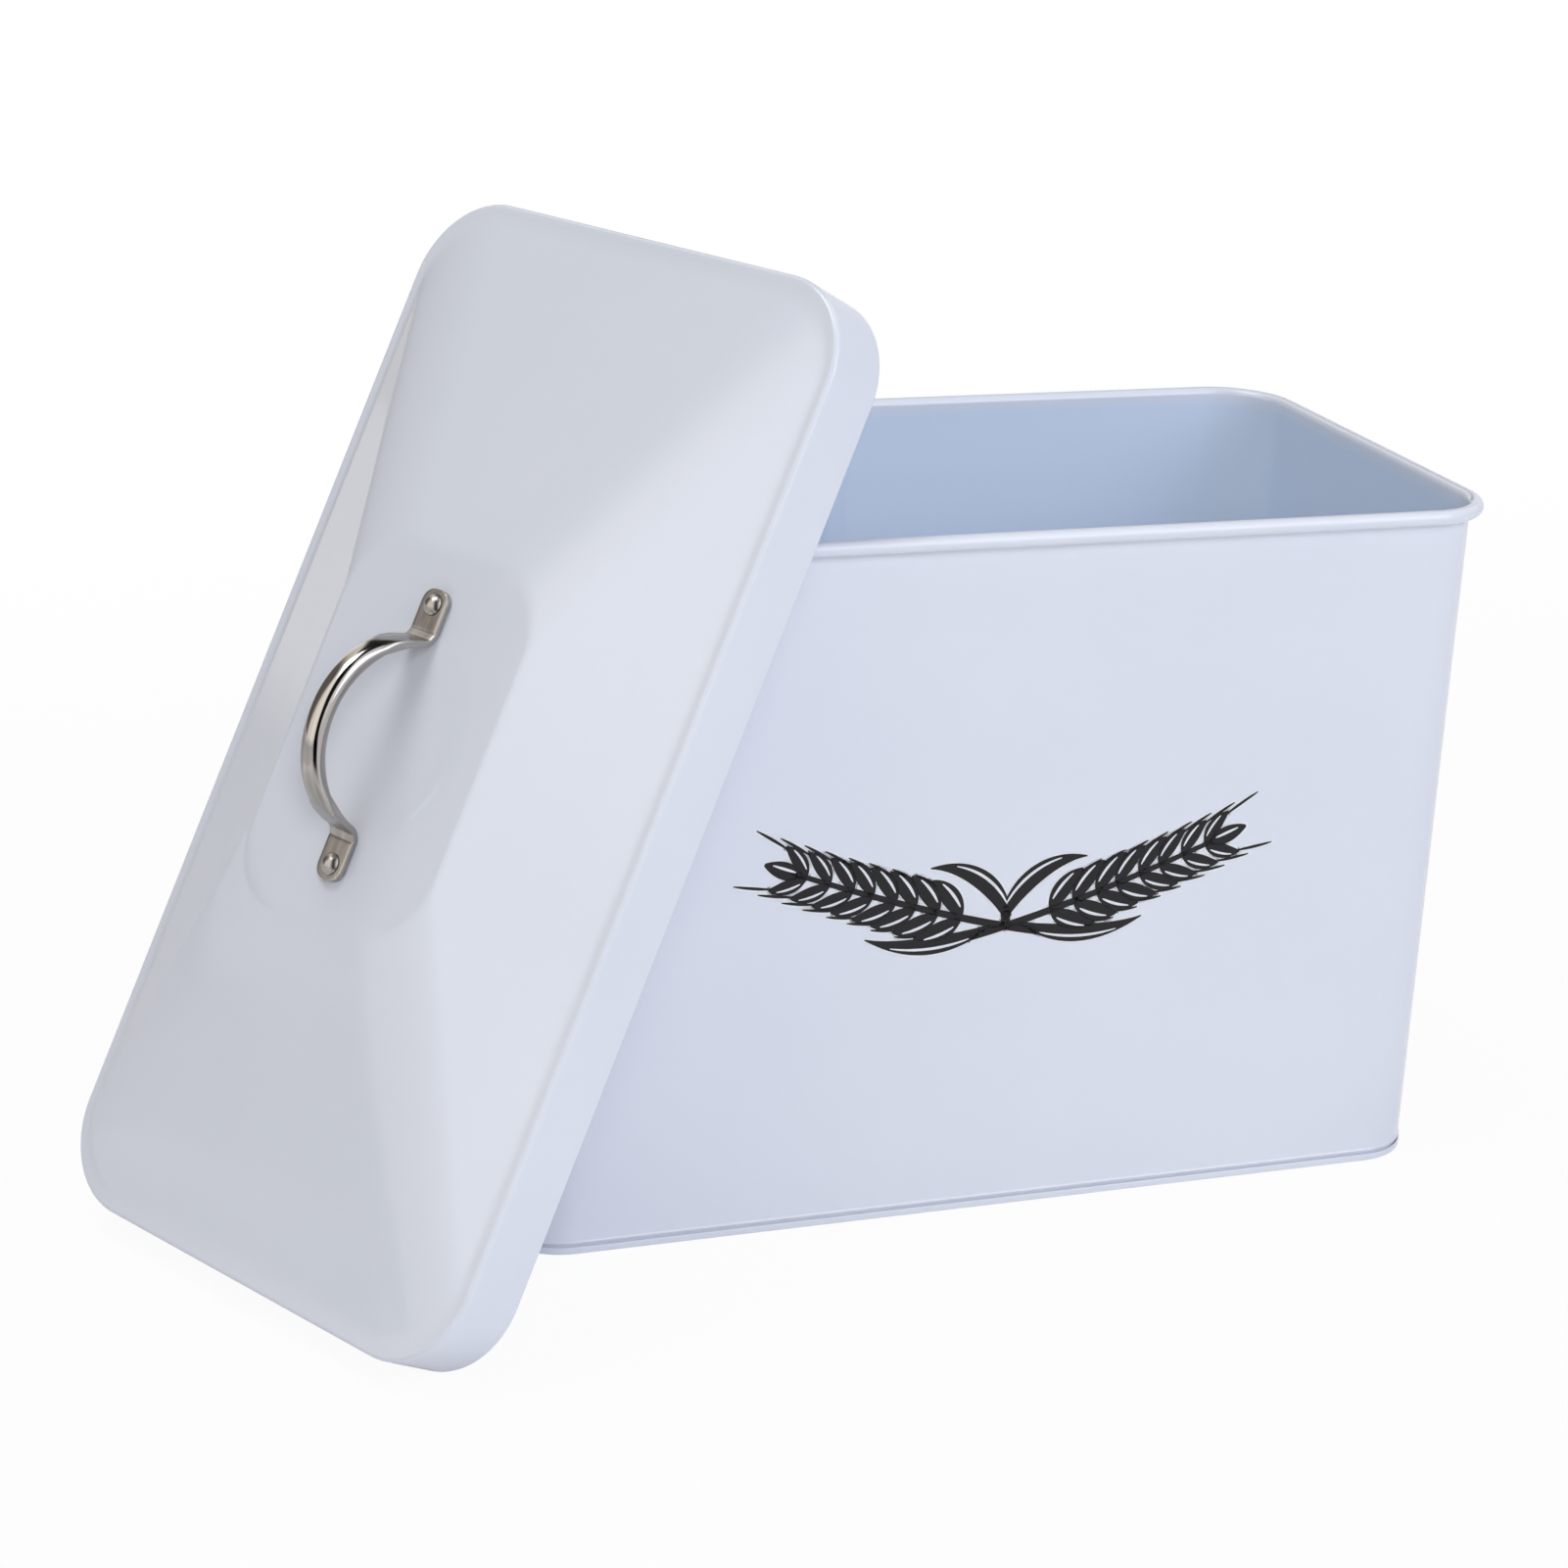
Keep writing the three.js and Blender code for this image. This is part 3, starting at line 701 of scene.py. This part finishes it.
# ears of wheat, printed in black with a white edge and fine white lines inside
ornament = {
    "centre": (-1 * mm, 115 * mm),     # on the front wall: along X from its middle, and up
    "stem": (-21 * mm, -19 * mm, 82 * mm, 12 * mm),    # from the tail to the tip
    "stemRise": 1.3,                   # it rises as this power of the way
    "stemPoints": (90, 6),             # along it, and how many of them the top grain takes over
    "stemHalfWidth": (1.5 * mm, 0.8 * mm),
    "grainLength": 17.5 * mm,
    "grainHalfWidth": 3.3 * mm,
    "grainPairs": 8,
    "grainSpan": (0.37, 0.52),         # share of the stem below the lowest pair, and along the pairs
    "grainShrink": 0.24,               # how much smaller the uppermost pair is
    "grainTurn": (0.98, 0.72),         # out from the stem, and bent back towards it
    "topGrain": (10, 0.80, 0.9, 0.2),  # points below the tip, shares of both sizes, line's shift
    "awn": 10 * mm,
    "awnHalfWidth": 0.5 * mm,
    "awnRoot": (0.62, 0.90),           # angle out from the stem, and share of the grain's length
    "awnTurn": (0.26, 0.1),            # out from the stem, and bent back towards it
    "awnGrowth": (0.8, 0.5),           # share of its length at the lowest pair, and gain to the top
    "leaves": [                        # place on the stem, angle, length, half width, bend, line's shift
        (17, 1.15, 40 * mm, 3.3 * mm, -1.45, 0.1),
        (22, -0.72, 46 * mm, 3.1 * mm, 0.86, -0.1),
    ],
    "line": (0.2, 0.6, 0.15),          # white line in a grain or leaf: start, length, half width
    "lineShift": 0.25,                 # to the side, as a share of the grain's half width
    "powers": (0.8, 1.15, 0.5),        # how pointed grains, leaves, and awns and lines are
    "swell": (0.03, 0.94, 0.9),        # of a blade: start and span of the half wave, power of the way
    "edgeSwell": (0.06, 0.88, 0.4),    # of its white edge: start and span, power of the sine
    "layer": 0.05 * mm,                # thickness of each printed coat
    "outline": 0.7 * mm,
}


def ribbon(curve, halfWidth):
    # strip along a curve: at each point it reaches halfWidth to both sides, square to the curve
    step = np.gradient(curve, axis=0)
    step /= np.linalg.norm(step, axis=1, keepdims=True)
    side = np.stack([-step[:, 1], step[:, 0]], axis=1)
    return np.stack([curve - side * halfWidth[:, None], curve + side * halfWidth[:, None]], axis=1)


def blade(start, angle, length, halfWidth, bend, power, shift=0.0, grow=0.0):
    # pointed leaf shape: a curve that turns evenly by bend along its length, with a half
    # width that swells and closes as a power of a sine. grow pushes its edge out all round.
    steps = 26
    t = np.linspace(0, 1, steps)
    turn = angle + bend * t
    step = np.stack([np.cos(turn), np.sin(turn)], axis=1) * (length + 2 * grow) / (steps - 1)
    curve = np.asarray(start) + np.concatenate([[[0, 0]], np.cumsum((step[1:] + step[:-1]) / 2, axis=0)])
    curve = curve - grow * np.array([math.cos(angle), math.sin(angle)])
    side = np.stack([-np.sin(turn), np.cos(turn)], axis=1)
    begin, span, pace = ornament["swell"]
    width = halfWidth * np.sin(np.pi * (begin + span * t ** pace)) ** power
    begin, span, edgePower = ornament["edgeSwell"]
    width = width + grow * np.sin(np.pi * (begin + span * t)) ** edgePower
    return ribbon(curve + side * shift, width)


def earOfWheat():
    # strips for one ear, in three coats: the white edge, the black, and the white lines inside.
    # Its stem runs evenly along X and rises as a power of the way.
    o = ornament
    points, hidden = o["stemPoints"]
    t = np.linspace(0, 1, points)
    startX, startZ, endX, endZ = o["stem"]
    rise = (endZ - startZ) * t ** o["stemRise"]
    stem = np.stack([startX + (endX - startX) * t, startZ + rise], axis=1)
    slope = np.arctan2(np.gradient(stem[:, 1]), np.gradient(stem[:, 0]))
    black, outline, inline = [], [], []

    grainPower, leafPower, thinPower = o["powers"]
    lineStart, linePart, lineWidth = o["line"]

    def put(start, angle, length, halfWidth, bend, power, line=None):
        black.append(blade(start, angle, length, halfWidth, bend, power))
        outline.append(blade(start, angle, length, halfWidth, bend, power, grow=o["outline"]))
        if line is not None:
            way = np.array([math.cos(angle), math.sin(angle)])
            inline.append(blade(
                np.asarray(start) + way * length * lineStart, angle + bend * lineStart,
                length * linePart, halfWidth * lineWidth, bend * linePart, thinPower,
                shift=halfWidth * line,
            ))

    thick, thin = o["stemHalfWidth"]
    shown = points - hidden
    halfStem = thick - (thick - thin) * t[:shown]
    black.append(ribbon(stem[:shown], halfStem))
    outline.append(ribbon(stem[:shown], halfStem + o["outline"]))
    below, along = o["grainSpan"]
    out, back = o["grainTurn"]
    rootAngle, rootShare = o["awnRoot"]
    awnOut, awnBack = o["awnTurn"]
    least, gain = o["awnGrowth"]
    for k in range(o["grainPairs"]):
        part = k / (o["grainPairs"] - 1)
        i = int((below + along * part) * (points - 1))
        size = 1.0 - o["grainShrink"] * part
        length, halfWidth = o["grainLength"] * size, o["grainHalfWidth"] * size
        for side in (1, -1):
            line = side * o["lineShift"]
            put(stem[i], slope[i] + side * out, length, halfWidth, -side * back, grainPower, line)
            reach = slope[i] + side * rootAngle
            root = stem[i] + np.array([math.cos(reach), math.sin(reach)]) * length * rootShare
            awn = o["awn"] * (least + gain * part)
            put(root, slope[i] + side * awnOut, awn, o["awnHalfWidth"], -side * awnBack, thinPower)
    top, longShare, wideShare, line = o["topGrain"]
    length, halfWidth = o["grainLength"] * longShare, o["grainHalfWidth"] * wideShare
    put(stem[-top], slope[-top], length, halfWidth, 0.0, grainPower, line)
    for i, turn, length, halfWidth, bend, line in o["leaves"]:
        put(stem[i], slope[i] + turn, length, halfWidth, bend, leafPower, line)
    return {"outline": outline, "black": black, "inline": inline}


def wallFace(x, z):
    # place of the front wall's outer face, with the same bow as the wall's own mesh
    straight = box["halfLength"] - box["cornerRadius"]
    return -box["halfWidth"] - sheetWave(x - box["halfWidth"], z) * midWall(x / straight)


def printStrips(name, strips, lift, material):
    # Each strip becomes a thin closed plate that follows the front wall's bow. Its four
    # columns are the two edges on the coat's face and the same two at its back. The sign of
    # the strip's area (shoelace sum) tells which way round its faces go.
    o = ornament
    points, faces, start = [], [], 0
    for strip in strips:
        rows = len(strip)
        x = strip[:, :, 0] + o["centre"][0]
        z = strip[:, :, 1] + o["centre"][1]
        front = wallFace(x, z) - lift - o["layer"]
        face = np.stack([x, front, z], axis=2)
        rear = np.stack([x, front + o["layer"], z], axis=2)[:, ::-1]
        grid = np.concatenate([face, rear], axis=1)
        index = start + np.arange(rows * 4).reshape(rows, 4)
        low, high = index[:-1], index[1:]
        quads = np.stack([low, np.roll(low, -1, 1), np.roll(high, -1, 1), high], axis=2).reshape(-1, 4)
        block = np.concatenate([quads, index[0][::-1][None], index[-1][None]])
        edge = np.concatenate([strip[:, 0], strip[::-1, 1]])
        area = (edge[:, 0] * np.roll(edge[:, 1], -1) - edge[:, 1] * np.roll(edge[:, 0], -1)).sum()
        points.append(grid.reshape(-1, 3))
        faces.append(block[:, ::-1] if area > 0 else block)
        start += rows * 4
    mesh = bpy.data.meshes.new(name)
    mesh.from_pydata(np.concatenate(points) + binPlace, [], np.concatenate(faces).tolist())
    mesh.update()
    mesh.materials.append(material)
    obj = bpy.data.objects.new(name, mesh)
    bpy.context.scene.collection.objects.link(obj)
    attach(obj, "bin")


def makeOrnament():
    # one ear to the right and its mirror image to the left
    ear = earOfWheat()
    mirror = np.array([-1, 1])
    both = {key: [grid * flip for flip in (1, mirror) for grid in ear[key]] for key in ear}
    printStrips("ornamentOutline", both["outline"], 0.0, whiteInk)
    printStrips("ornamentBlack", both["black"], ornament["layer"], blackInk)
    printStrips("ornamentLines", both["inline"], 2 * ornament["layer"], whiteInk)


makeOrnament()
print("ornament ready")

camera = {
    "fromBin": (-0.48979, -1.11210, 0.53787),     # from the floor under the box's middle
    "right": (0.93429203, -0.35264501, 0.05234404),
    "up": (0.06958843, 0.32439186, 0.94335962),
    "forward": (0.34965104, 0.87773083, -0.32761674),
    "lens": 86.147,
}

studio = {
    "lamps": {      # azimuth and height in degrees, distance, size, watts, colour
        "topSoftbox": (172, 74, 2.5, (1.3, 1.3), 22.0, (0.99, 1.0, 0.98)),
        "leftStrip": (-104, 30, 2.5, (0.5, 1.3), 17.0, (0.99, 1.0, 0.98)),
        "rightSoftbox": (-56, 26, 2.5, (1.3, 1.6), 18.4, (0.79, 0.83, 1.0)),
        "rearSoftbox": (80, 35, 2.5, (1.3, 1.3), 5.0, (1.0, 1.0, 1.0)),
    },
    "unmirrored": ("leftStrip", "rearSoftbox"),    # a gloss doesn't see these
    "target": (0, 0, 0.12),
    "fill": ((1.0, 1.0, 1.0), 0.25),         # the world's light on everything
    "floor": (7.0, -0.0004, (0.86, 0.86, 0.87, 1)),    # half size, level, colour
    "lift": 0.94,                            # how far the camera sees the floor lifted to white
    "liftEdge": (-0.1, 0.8),                 # wholly so, from inside the table's edge outwards
    # what a gloss sees of the floor, in metres along X and Y
    "table": ((-0.60, 0.86), (-0.44, 0.22)), # white here
    "sideTable": ((0.02, 3.0), (-3.0, 0.46)),
    "tableWhite": 0.95,
    "tableSoft": 0.02,                       # half width of its soft edge
    "edgeColour": (1.0, 0.70, 0.60, 1),      # of the table's left edge
    "edgeWidth": (0.015, 0.035),             # to each side, full and fading out
    "edgeEnd": (0.03, 0.05),                 # past the table's corners
    "beyond": (0.10, 0.85),                  # how white it is just beyond, and far out
    "farOut": (0.9, 1.7),                    # distance from the table over which it turns white again
    "backdrop": (-0.36, -0.15, 0.85),        # behind, where x - 0.36 y > -0.15: how white
    "backdropEdge": (0.20, 0.24),            # along Y: from here back
    "backdropSoft": 0.03,
    "shade": ((-0.26, 0.0), 0.10, 0.34, 0.15),    # dimmer round the lid: middle, radii, how dim
    "front": (-0.50, -0.32),                 # along Y: from here forward the dark gap goes on over it
    # what a gloss sees of the room above the floor
    "gap": -25,                              # azimuth square to the dark gap between the two sides
    "gapEdges": ((-0.36, -0.24), (0.28, 0.37)),    # the gap on the floor, from side to side
    "window": ((1.40, 1.33, 1.22), (0.0, -0.20), (-0.32, -0.36)),  # the left side's front half
    "rearWall": ((0.84, 0.86, 0.90), (0.4, 0.5), (-0.12, -0.02)),  # closes the gap at the back
    # both give a colour and where they start, towards the back and across
    "rearTop": (0.40, 0.28),                 # the rear wall ends at this height, as a direction's Z
    "room": [                                # from the left side to the right
        (-1.00, (0.20, 0.18, 0.17)),
        (-0.66, (0.20, 0.18, 0.17)),
        (-0.52, (1.10, 1.05, 0.98)),
        (-0.32, (1.35, 1.28, 1.16)),
        (-0.27, (0.01, 0.01, 0.01)),
        (0.30, (0.01, 0.01, 0.01)),
        (0.37, (1.25, 1.25, 1.26)),
        (0.60, (1.20, 1.20, 1.22)),
        (1.00, (0.80, 0.80, 0.82)),
    ],
}


def makeCamera():
    # camera at the photograph's viewing angle; its matrix has its right, up and back as columns
    data = bpy.data.cameras.new("viewCamera")
    data.lens = camera["lens"]
    data.sensor_width = 36
    data.sensor_fit = "HORIZONTAL"
    data.clip_start = 0.02
    data.clip_end = 60
    obj = bpy.data.objects.new("viewCamera", data)
    bpy.context.scene.collection.objects.link(obj)
    axes = [camera["right"], camera["up"], -np.array(camera["forward"])]
    matrix = Matrix.Identity(4)
    for k in range(3):
        matrix.col[k][:3] = axes[k]
    matrix.col[3][:3] = np.array(camera["fromBin"]) + binPlace
    obj.matrix_world = matrix
    bpy.context.scene.camera = obj


def makeFloor():
    # White table: a plain diffuse face that keeps the shadow. The camera sees it lifted towards
    # white, wholly so further out. A gloss sees it white on the table, with a warm left edge, dim
    # round the lid and beyond the table, pale again far out and behind on the right. In front the
    # room's dark gap goes on over it: there (x cos g + y sin g) / distance is near 0.
    reach, low, colour = studio["floor"]
    corners = [(-reach, -reach, low), (reach, -reach, low), (reach, reach, low), (-reach, reach, low)]
    mesh = bpy.data.meshes.new("floor")
    mesh.from_pydata(corners, [], [(0, 1, 2, 3)])
    obj = bpy.data.objects.new("floor", mesh)
    bpy.context.scene.collection.objects.link(obj)
    pen = NodePen("floorWhite")
    pen.tree.nodes.remove(pen.surface)
    place = pen.add("ShaderNodeSeparateXYZ", Vector=pen.add("ShaderNodeTexCoord").outputs["Object"]).outputs

    def outside(area):
        # distance outside a rectangle: max(|x - x0| - a, |y - y0| - b)
        gaps = []
        for axis, (start, end) in zip("XY", area):
            away = pen.calc("ABSOLUTE", pen.calc("SUBTRACT", place[axis], (start + end) / 2))
            gaps.append(pen.calc("SUBTRACT", away, (end - start) / 2))
        return pen.calc("MAXIMUM", gaps[0], gaps[1])

    def distance(x, y):
        # square root of x^2 + y^2
        return pen.calc("SQRT", pen.calc("MULTIPLY_ADD", x, x, pen.calc("MULTIPLY", y, y)))

    def rise(value, start, end, low, high):
        # smooth step from low at start to high at end
        return pen.add(
            "ShaderNodeMapRange",
            {"interpolation_type": "SMOOTHSTEP"},
            Value=value, From_Min=start, From_Max=end, To_Min=low, To_Max=high,
        ).outputs[0]

    edge = outside(studio["table"])
    near, far = studio["beyond"]
    slant, start, pale = studio["backdrop"]
    onTable = pen.calc("MINIMUM", edge, outside(studio["sideTable"]))
    soft = studio["tableSoft"]
    offTable = rise(onTable, -soft, soft, studio["tableWhite"], near)
    slanted = pen.calc("MULTIPLY_ADD", place["Y"], slant, place["X"])
    soft = studio["backdropSoft"]
    behind = rise(slanted, start - soft, start + soft, 0.0, pale)
    behind = pen.calc("MULTIPLY", behind, rise(place["Y"], *studio["backdropEdge"], 0.0, 1.0))
    glossShare = pen.calc("MAXIMUM", offTable, rise(edge, *studio["farOut"], 0.0, far))
    glossShare = pen.calc("MAXIMUM", glossShare, behind)
    middle, inner, outer, dim = studio["shade"]
    beside = [pen.calc("SUBTRACT", place[axis], at) for axis, at in zip("XY", middle)]
    glossShare = pen.calc("MULTIPLY", glossShare, rise(distance(*beside), inner, outer, dim, 1.0))
    toEdge = pen.calc("ABSOLUTE", pen.calc("SUBTRACT", place["X"], studio["table"][0][0]))
    edgeBand = rise(toEdge, *studio["edgeWidth"], 1.0, 0.0)
    edgeBand = pen.calc("MULTIPLY", edgeBand, rise(edge, *studio["edgeEnd"], 1.0, 0.0))
    seenShare = rise(edge, *studio["liftEdge"], studio["lift"], 1.0)
    path = pen.add("ShaderNodeLightPath").outputs
    mirrored = pen.calc("MAXIMUM", path["Is Glossy Ray"], path["Is Transmission Ray"])
    seen = pen.calc("MULTIPLY", path["Is Camera Ray"], seenShare)
    share = pen.calc("MAXIMUM", seen, pen.calc("MULTIPLY", mirrored, glossShare))
    g = math.radians(studio["gap"])
    side = pen.calc("MULTIPLY_ADD", place["Y"], math.sin(g), pen.calc("MULTIPLY", place["X"], math.cos(g)))
    side = pen.calc("DIVIDE", side, distance(place["X"], place["Y"]))
    left, right = studio["gapEdges"]
    dark = pen.calc("MULTIPLY", rise(side, *left, 0.0, 1.0), rise(side, *right, 1.0, 0.0))
    dark = pen.calc("MULTIPLY", dark, rise(place["Y"], *studio["front"], 1.0, 0.0))
    dark = pen.calc("MULTIPLY", dark, mirrored)
    matte = pen.add("ShaderNodeBsdfDiffuse", Color=colour)
    tint = pen.blend(pen.calc("MULTIPLY", mirrored, edgeBand), (1, 1, 1, 1), studio["edgeColour"])
    glow = pen.add("ShaderNodeEmission", Color=tint, Strength=1.0)
    mix = pen.tree.nodes.new("ShaderNodeMixShader")
    for value, socket in zip((share, matte.outputs[0], glow.outputs[0]), mix.inputs):
        pen.put(value, socket)
    shaded = pen.tree.nodes.new("ShaderNodeMixShader")
    pen.put(dark, shaded.inputs[0])
    pen.put(mix.outputs[0], shaded.inputs[1])
    pen.put(shaded.outputs[0], pen.tree.nodes["Material Output"].inputs["Surface"])
    mesh.materials.append(pen.material)


def aimed(place, target):
    # rotation that turns a lamp's -Z towards the target
    away = np.asarray(place, float) - np.asarray(target, float)
    away /= np.linalg.norm(away)
    side = np.cross([0, 0, 1.0], away)
    side /= np.linalg.norm(side)
    matrix = Matrix.Identity(4)
    for k, axis in enumerate((side, np.cross(away, side), away)):
        matrix.col[k][:3] = axis
    matrix.col[3][:3] = place
    return matrix


def makeLamps():
    # place = target + distance (cos h cos a, cos h sin a, sin h)
    for name, (azimuth, height, distance, size, watts, colour) in studio["lamps"].items():
        a, h = math.radians(azimuth), math.radians(height)
        way = np.array([math.cos(h) * math.cos(a), math.cos(h) * math.sin(a), math.sin(h)])
        data = bpy.data.lights.new(name, "AREA")
        data.shape = "RECTANGLE"
        data.size, data.size_y = size
        data.energy = watts
        data.color = colour
        obj = bpy.data.objects.new(name, data)
        obj.visible_glossy = name not in studio["unmirrored"]
        bpy.context.scene.collection.objects.link(obj)
        obj.matrix_world = aimed(np.array(studio["target"]) + distance * way, studio["target"])


def makeWorld():
    # Even fill light. The camera sees plain white. A gloss sees two pale sides with a dark gap
    # between them that runs overhead, by its direction . (cos g, sin g, 0). The left side's back
    # half is dark as well: there direction . (-sin g, cos g, 0) is above 0. A pale rear wall
    # closes the gap low down at the back.
    world = bpy.data.worlds.new("studio")
    world.use_nodes = True
    tree = world.node_tree
    new, link = tree.nodes.new, tree.links.new
    colour, strength = studio["fill"]
    fill = tree.nodes["Background"]
    fill.inputs["Color"].default_value = (*colour, 1)
    fill.inputs["Strength"].default_value = strength
    look = new("ShaderNodeTexCoord").outputs["Generated"]
    g = math.radians(studio["gap"])

    def along(x, y, z=0):
        dot = new("ShaderNodeVectorMath")
        dot.operation = "DOT_PRODUCT"
        link(look, dot.inputs[0])
        dot.inputs[1].default_value = (x, y, z)
        return dot.outputs["Value"]

    def between(value, start, end):
        part = new("ShaderNodeMapRange")
        link(value, part.inputs["Value"])
        part.inputs["From Min"].default_value = start
        part.inputs["From Max"].default_value = end
        return part.outputs[0]

    def calc(operation, *values):
        node = new("ShaderNodeMath")
        node.operation = operation
        for value, socket in zip(values, node.inputs):
            link(value, socket)
        return node.outputs[0]

    side = along(math.cos(g), math.sin(g))
    ramp = new("ShaderNodeValToRGB")
    link(between(side, -1, 1), ramp.inputs["Fac"])
    stops = ramp.color_ramp.elements
    while len(stops) < len(studio["room"]):
        stops.new(0.5)
    for stop, (at, colour) in zip(stops, studio["room"]):
        stop.position = (at + 1) / 2
        stop.color = (*colour, 1)
    room, window, rear, white = (new("ShaderNodeBackground") for _ in range(4))
    link(ramp.outputs["Color"], room.inputs["Color"])
    back = along(-math.sin(g), math.cos(g))

    def panel(shader, colour, backEdge, sideEdge):
        shader.inputs["Color"].default_value = (*colour, 1)
        return calc("MULTIPLY", between(back, *backEdge), between(side, *sideEdge))

    inWindow = panel(window, *studio["window"])
    atRear = panel(rear, *studio["rearWall"])
    low = between(along(0, 0, 1), *studio["rearTop"])
    white.inputs["Color"].default_value = (1, 1, 1, 1)
    path = new("ShaderNodeLightPath").outputs
    mirrored = calc("MAXIMUM", path["Is Glossy Ray"], path["Is Transmission Ray"])
    surface = fill.outputs[0]
    for share, shader in (
        (mirrored, room),
        (calc("MULTIPLY", mirrored, inWindow), window),
        (calc("MULTIPLY", mirrored, calc("MULTIPLY", low, atRear)), rear),
        (path["Is Camera Ray"], white),
    ):
        mix = new("ShaderNodeMixShader")
        link(share, mix.inputs[0])
        link(surface, mix.inputs[1])
        link(shader.outputs[0], mix.inputs[2])
        surface = mix.outputs[0]
    link(surface, tree.nodes["World Output"].inputs["Surface"])
    bpy.context.scene.world = world


makeCamera()
makeFloor()
makeLamps()
makeWorld()
bpy.context.scene.view_settings.view_transform = "Standard"
print("stage ready")
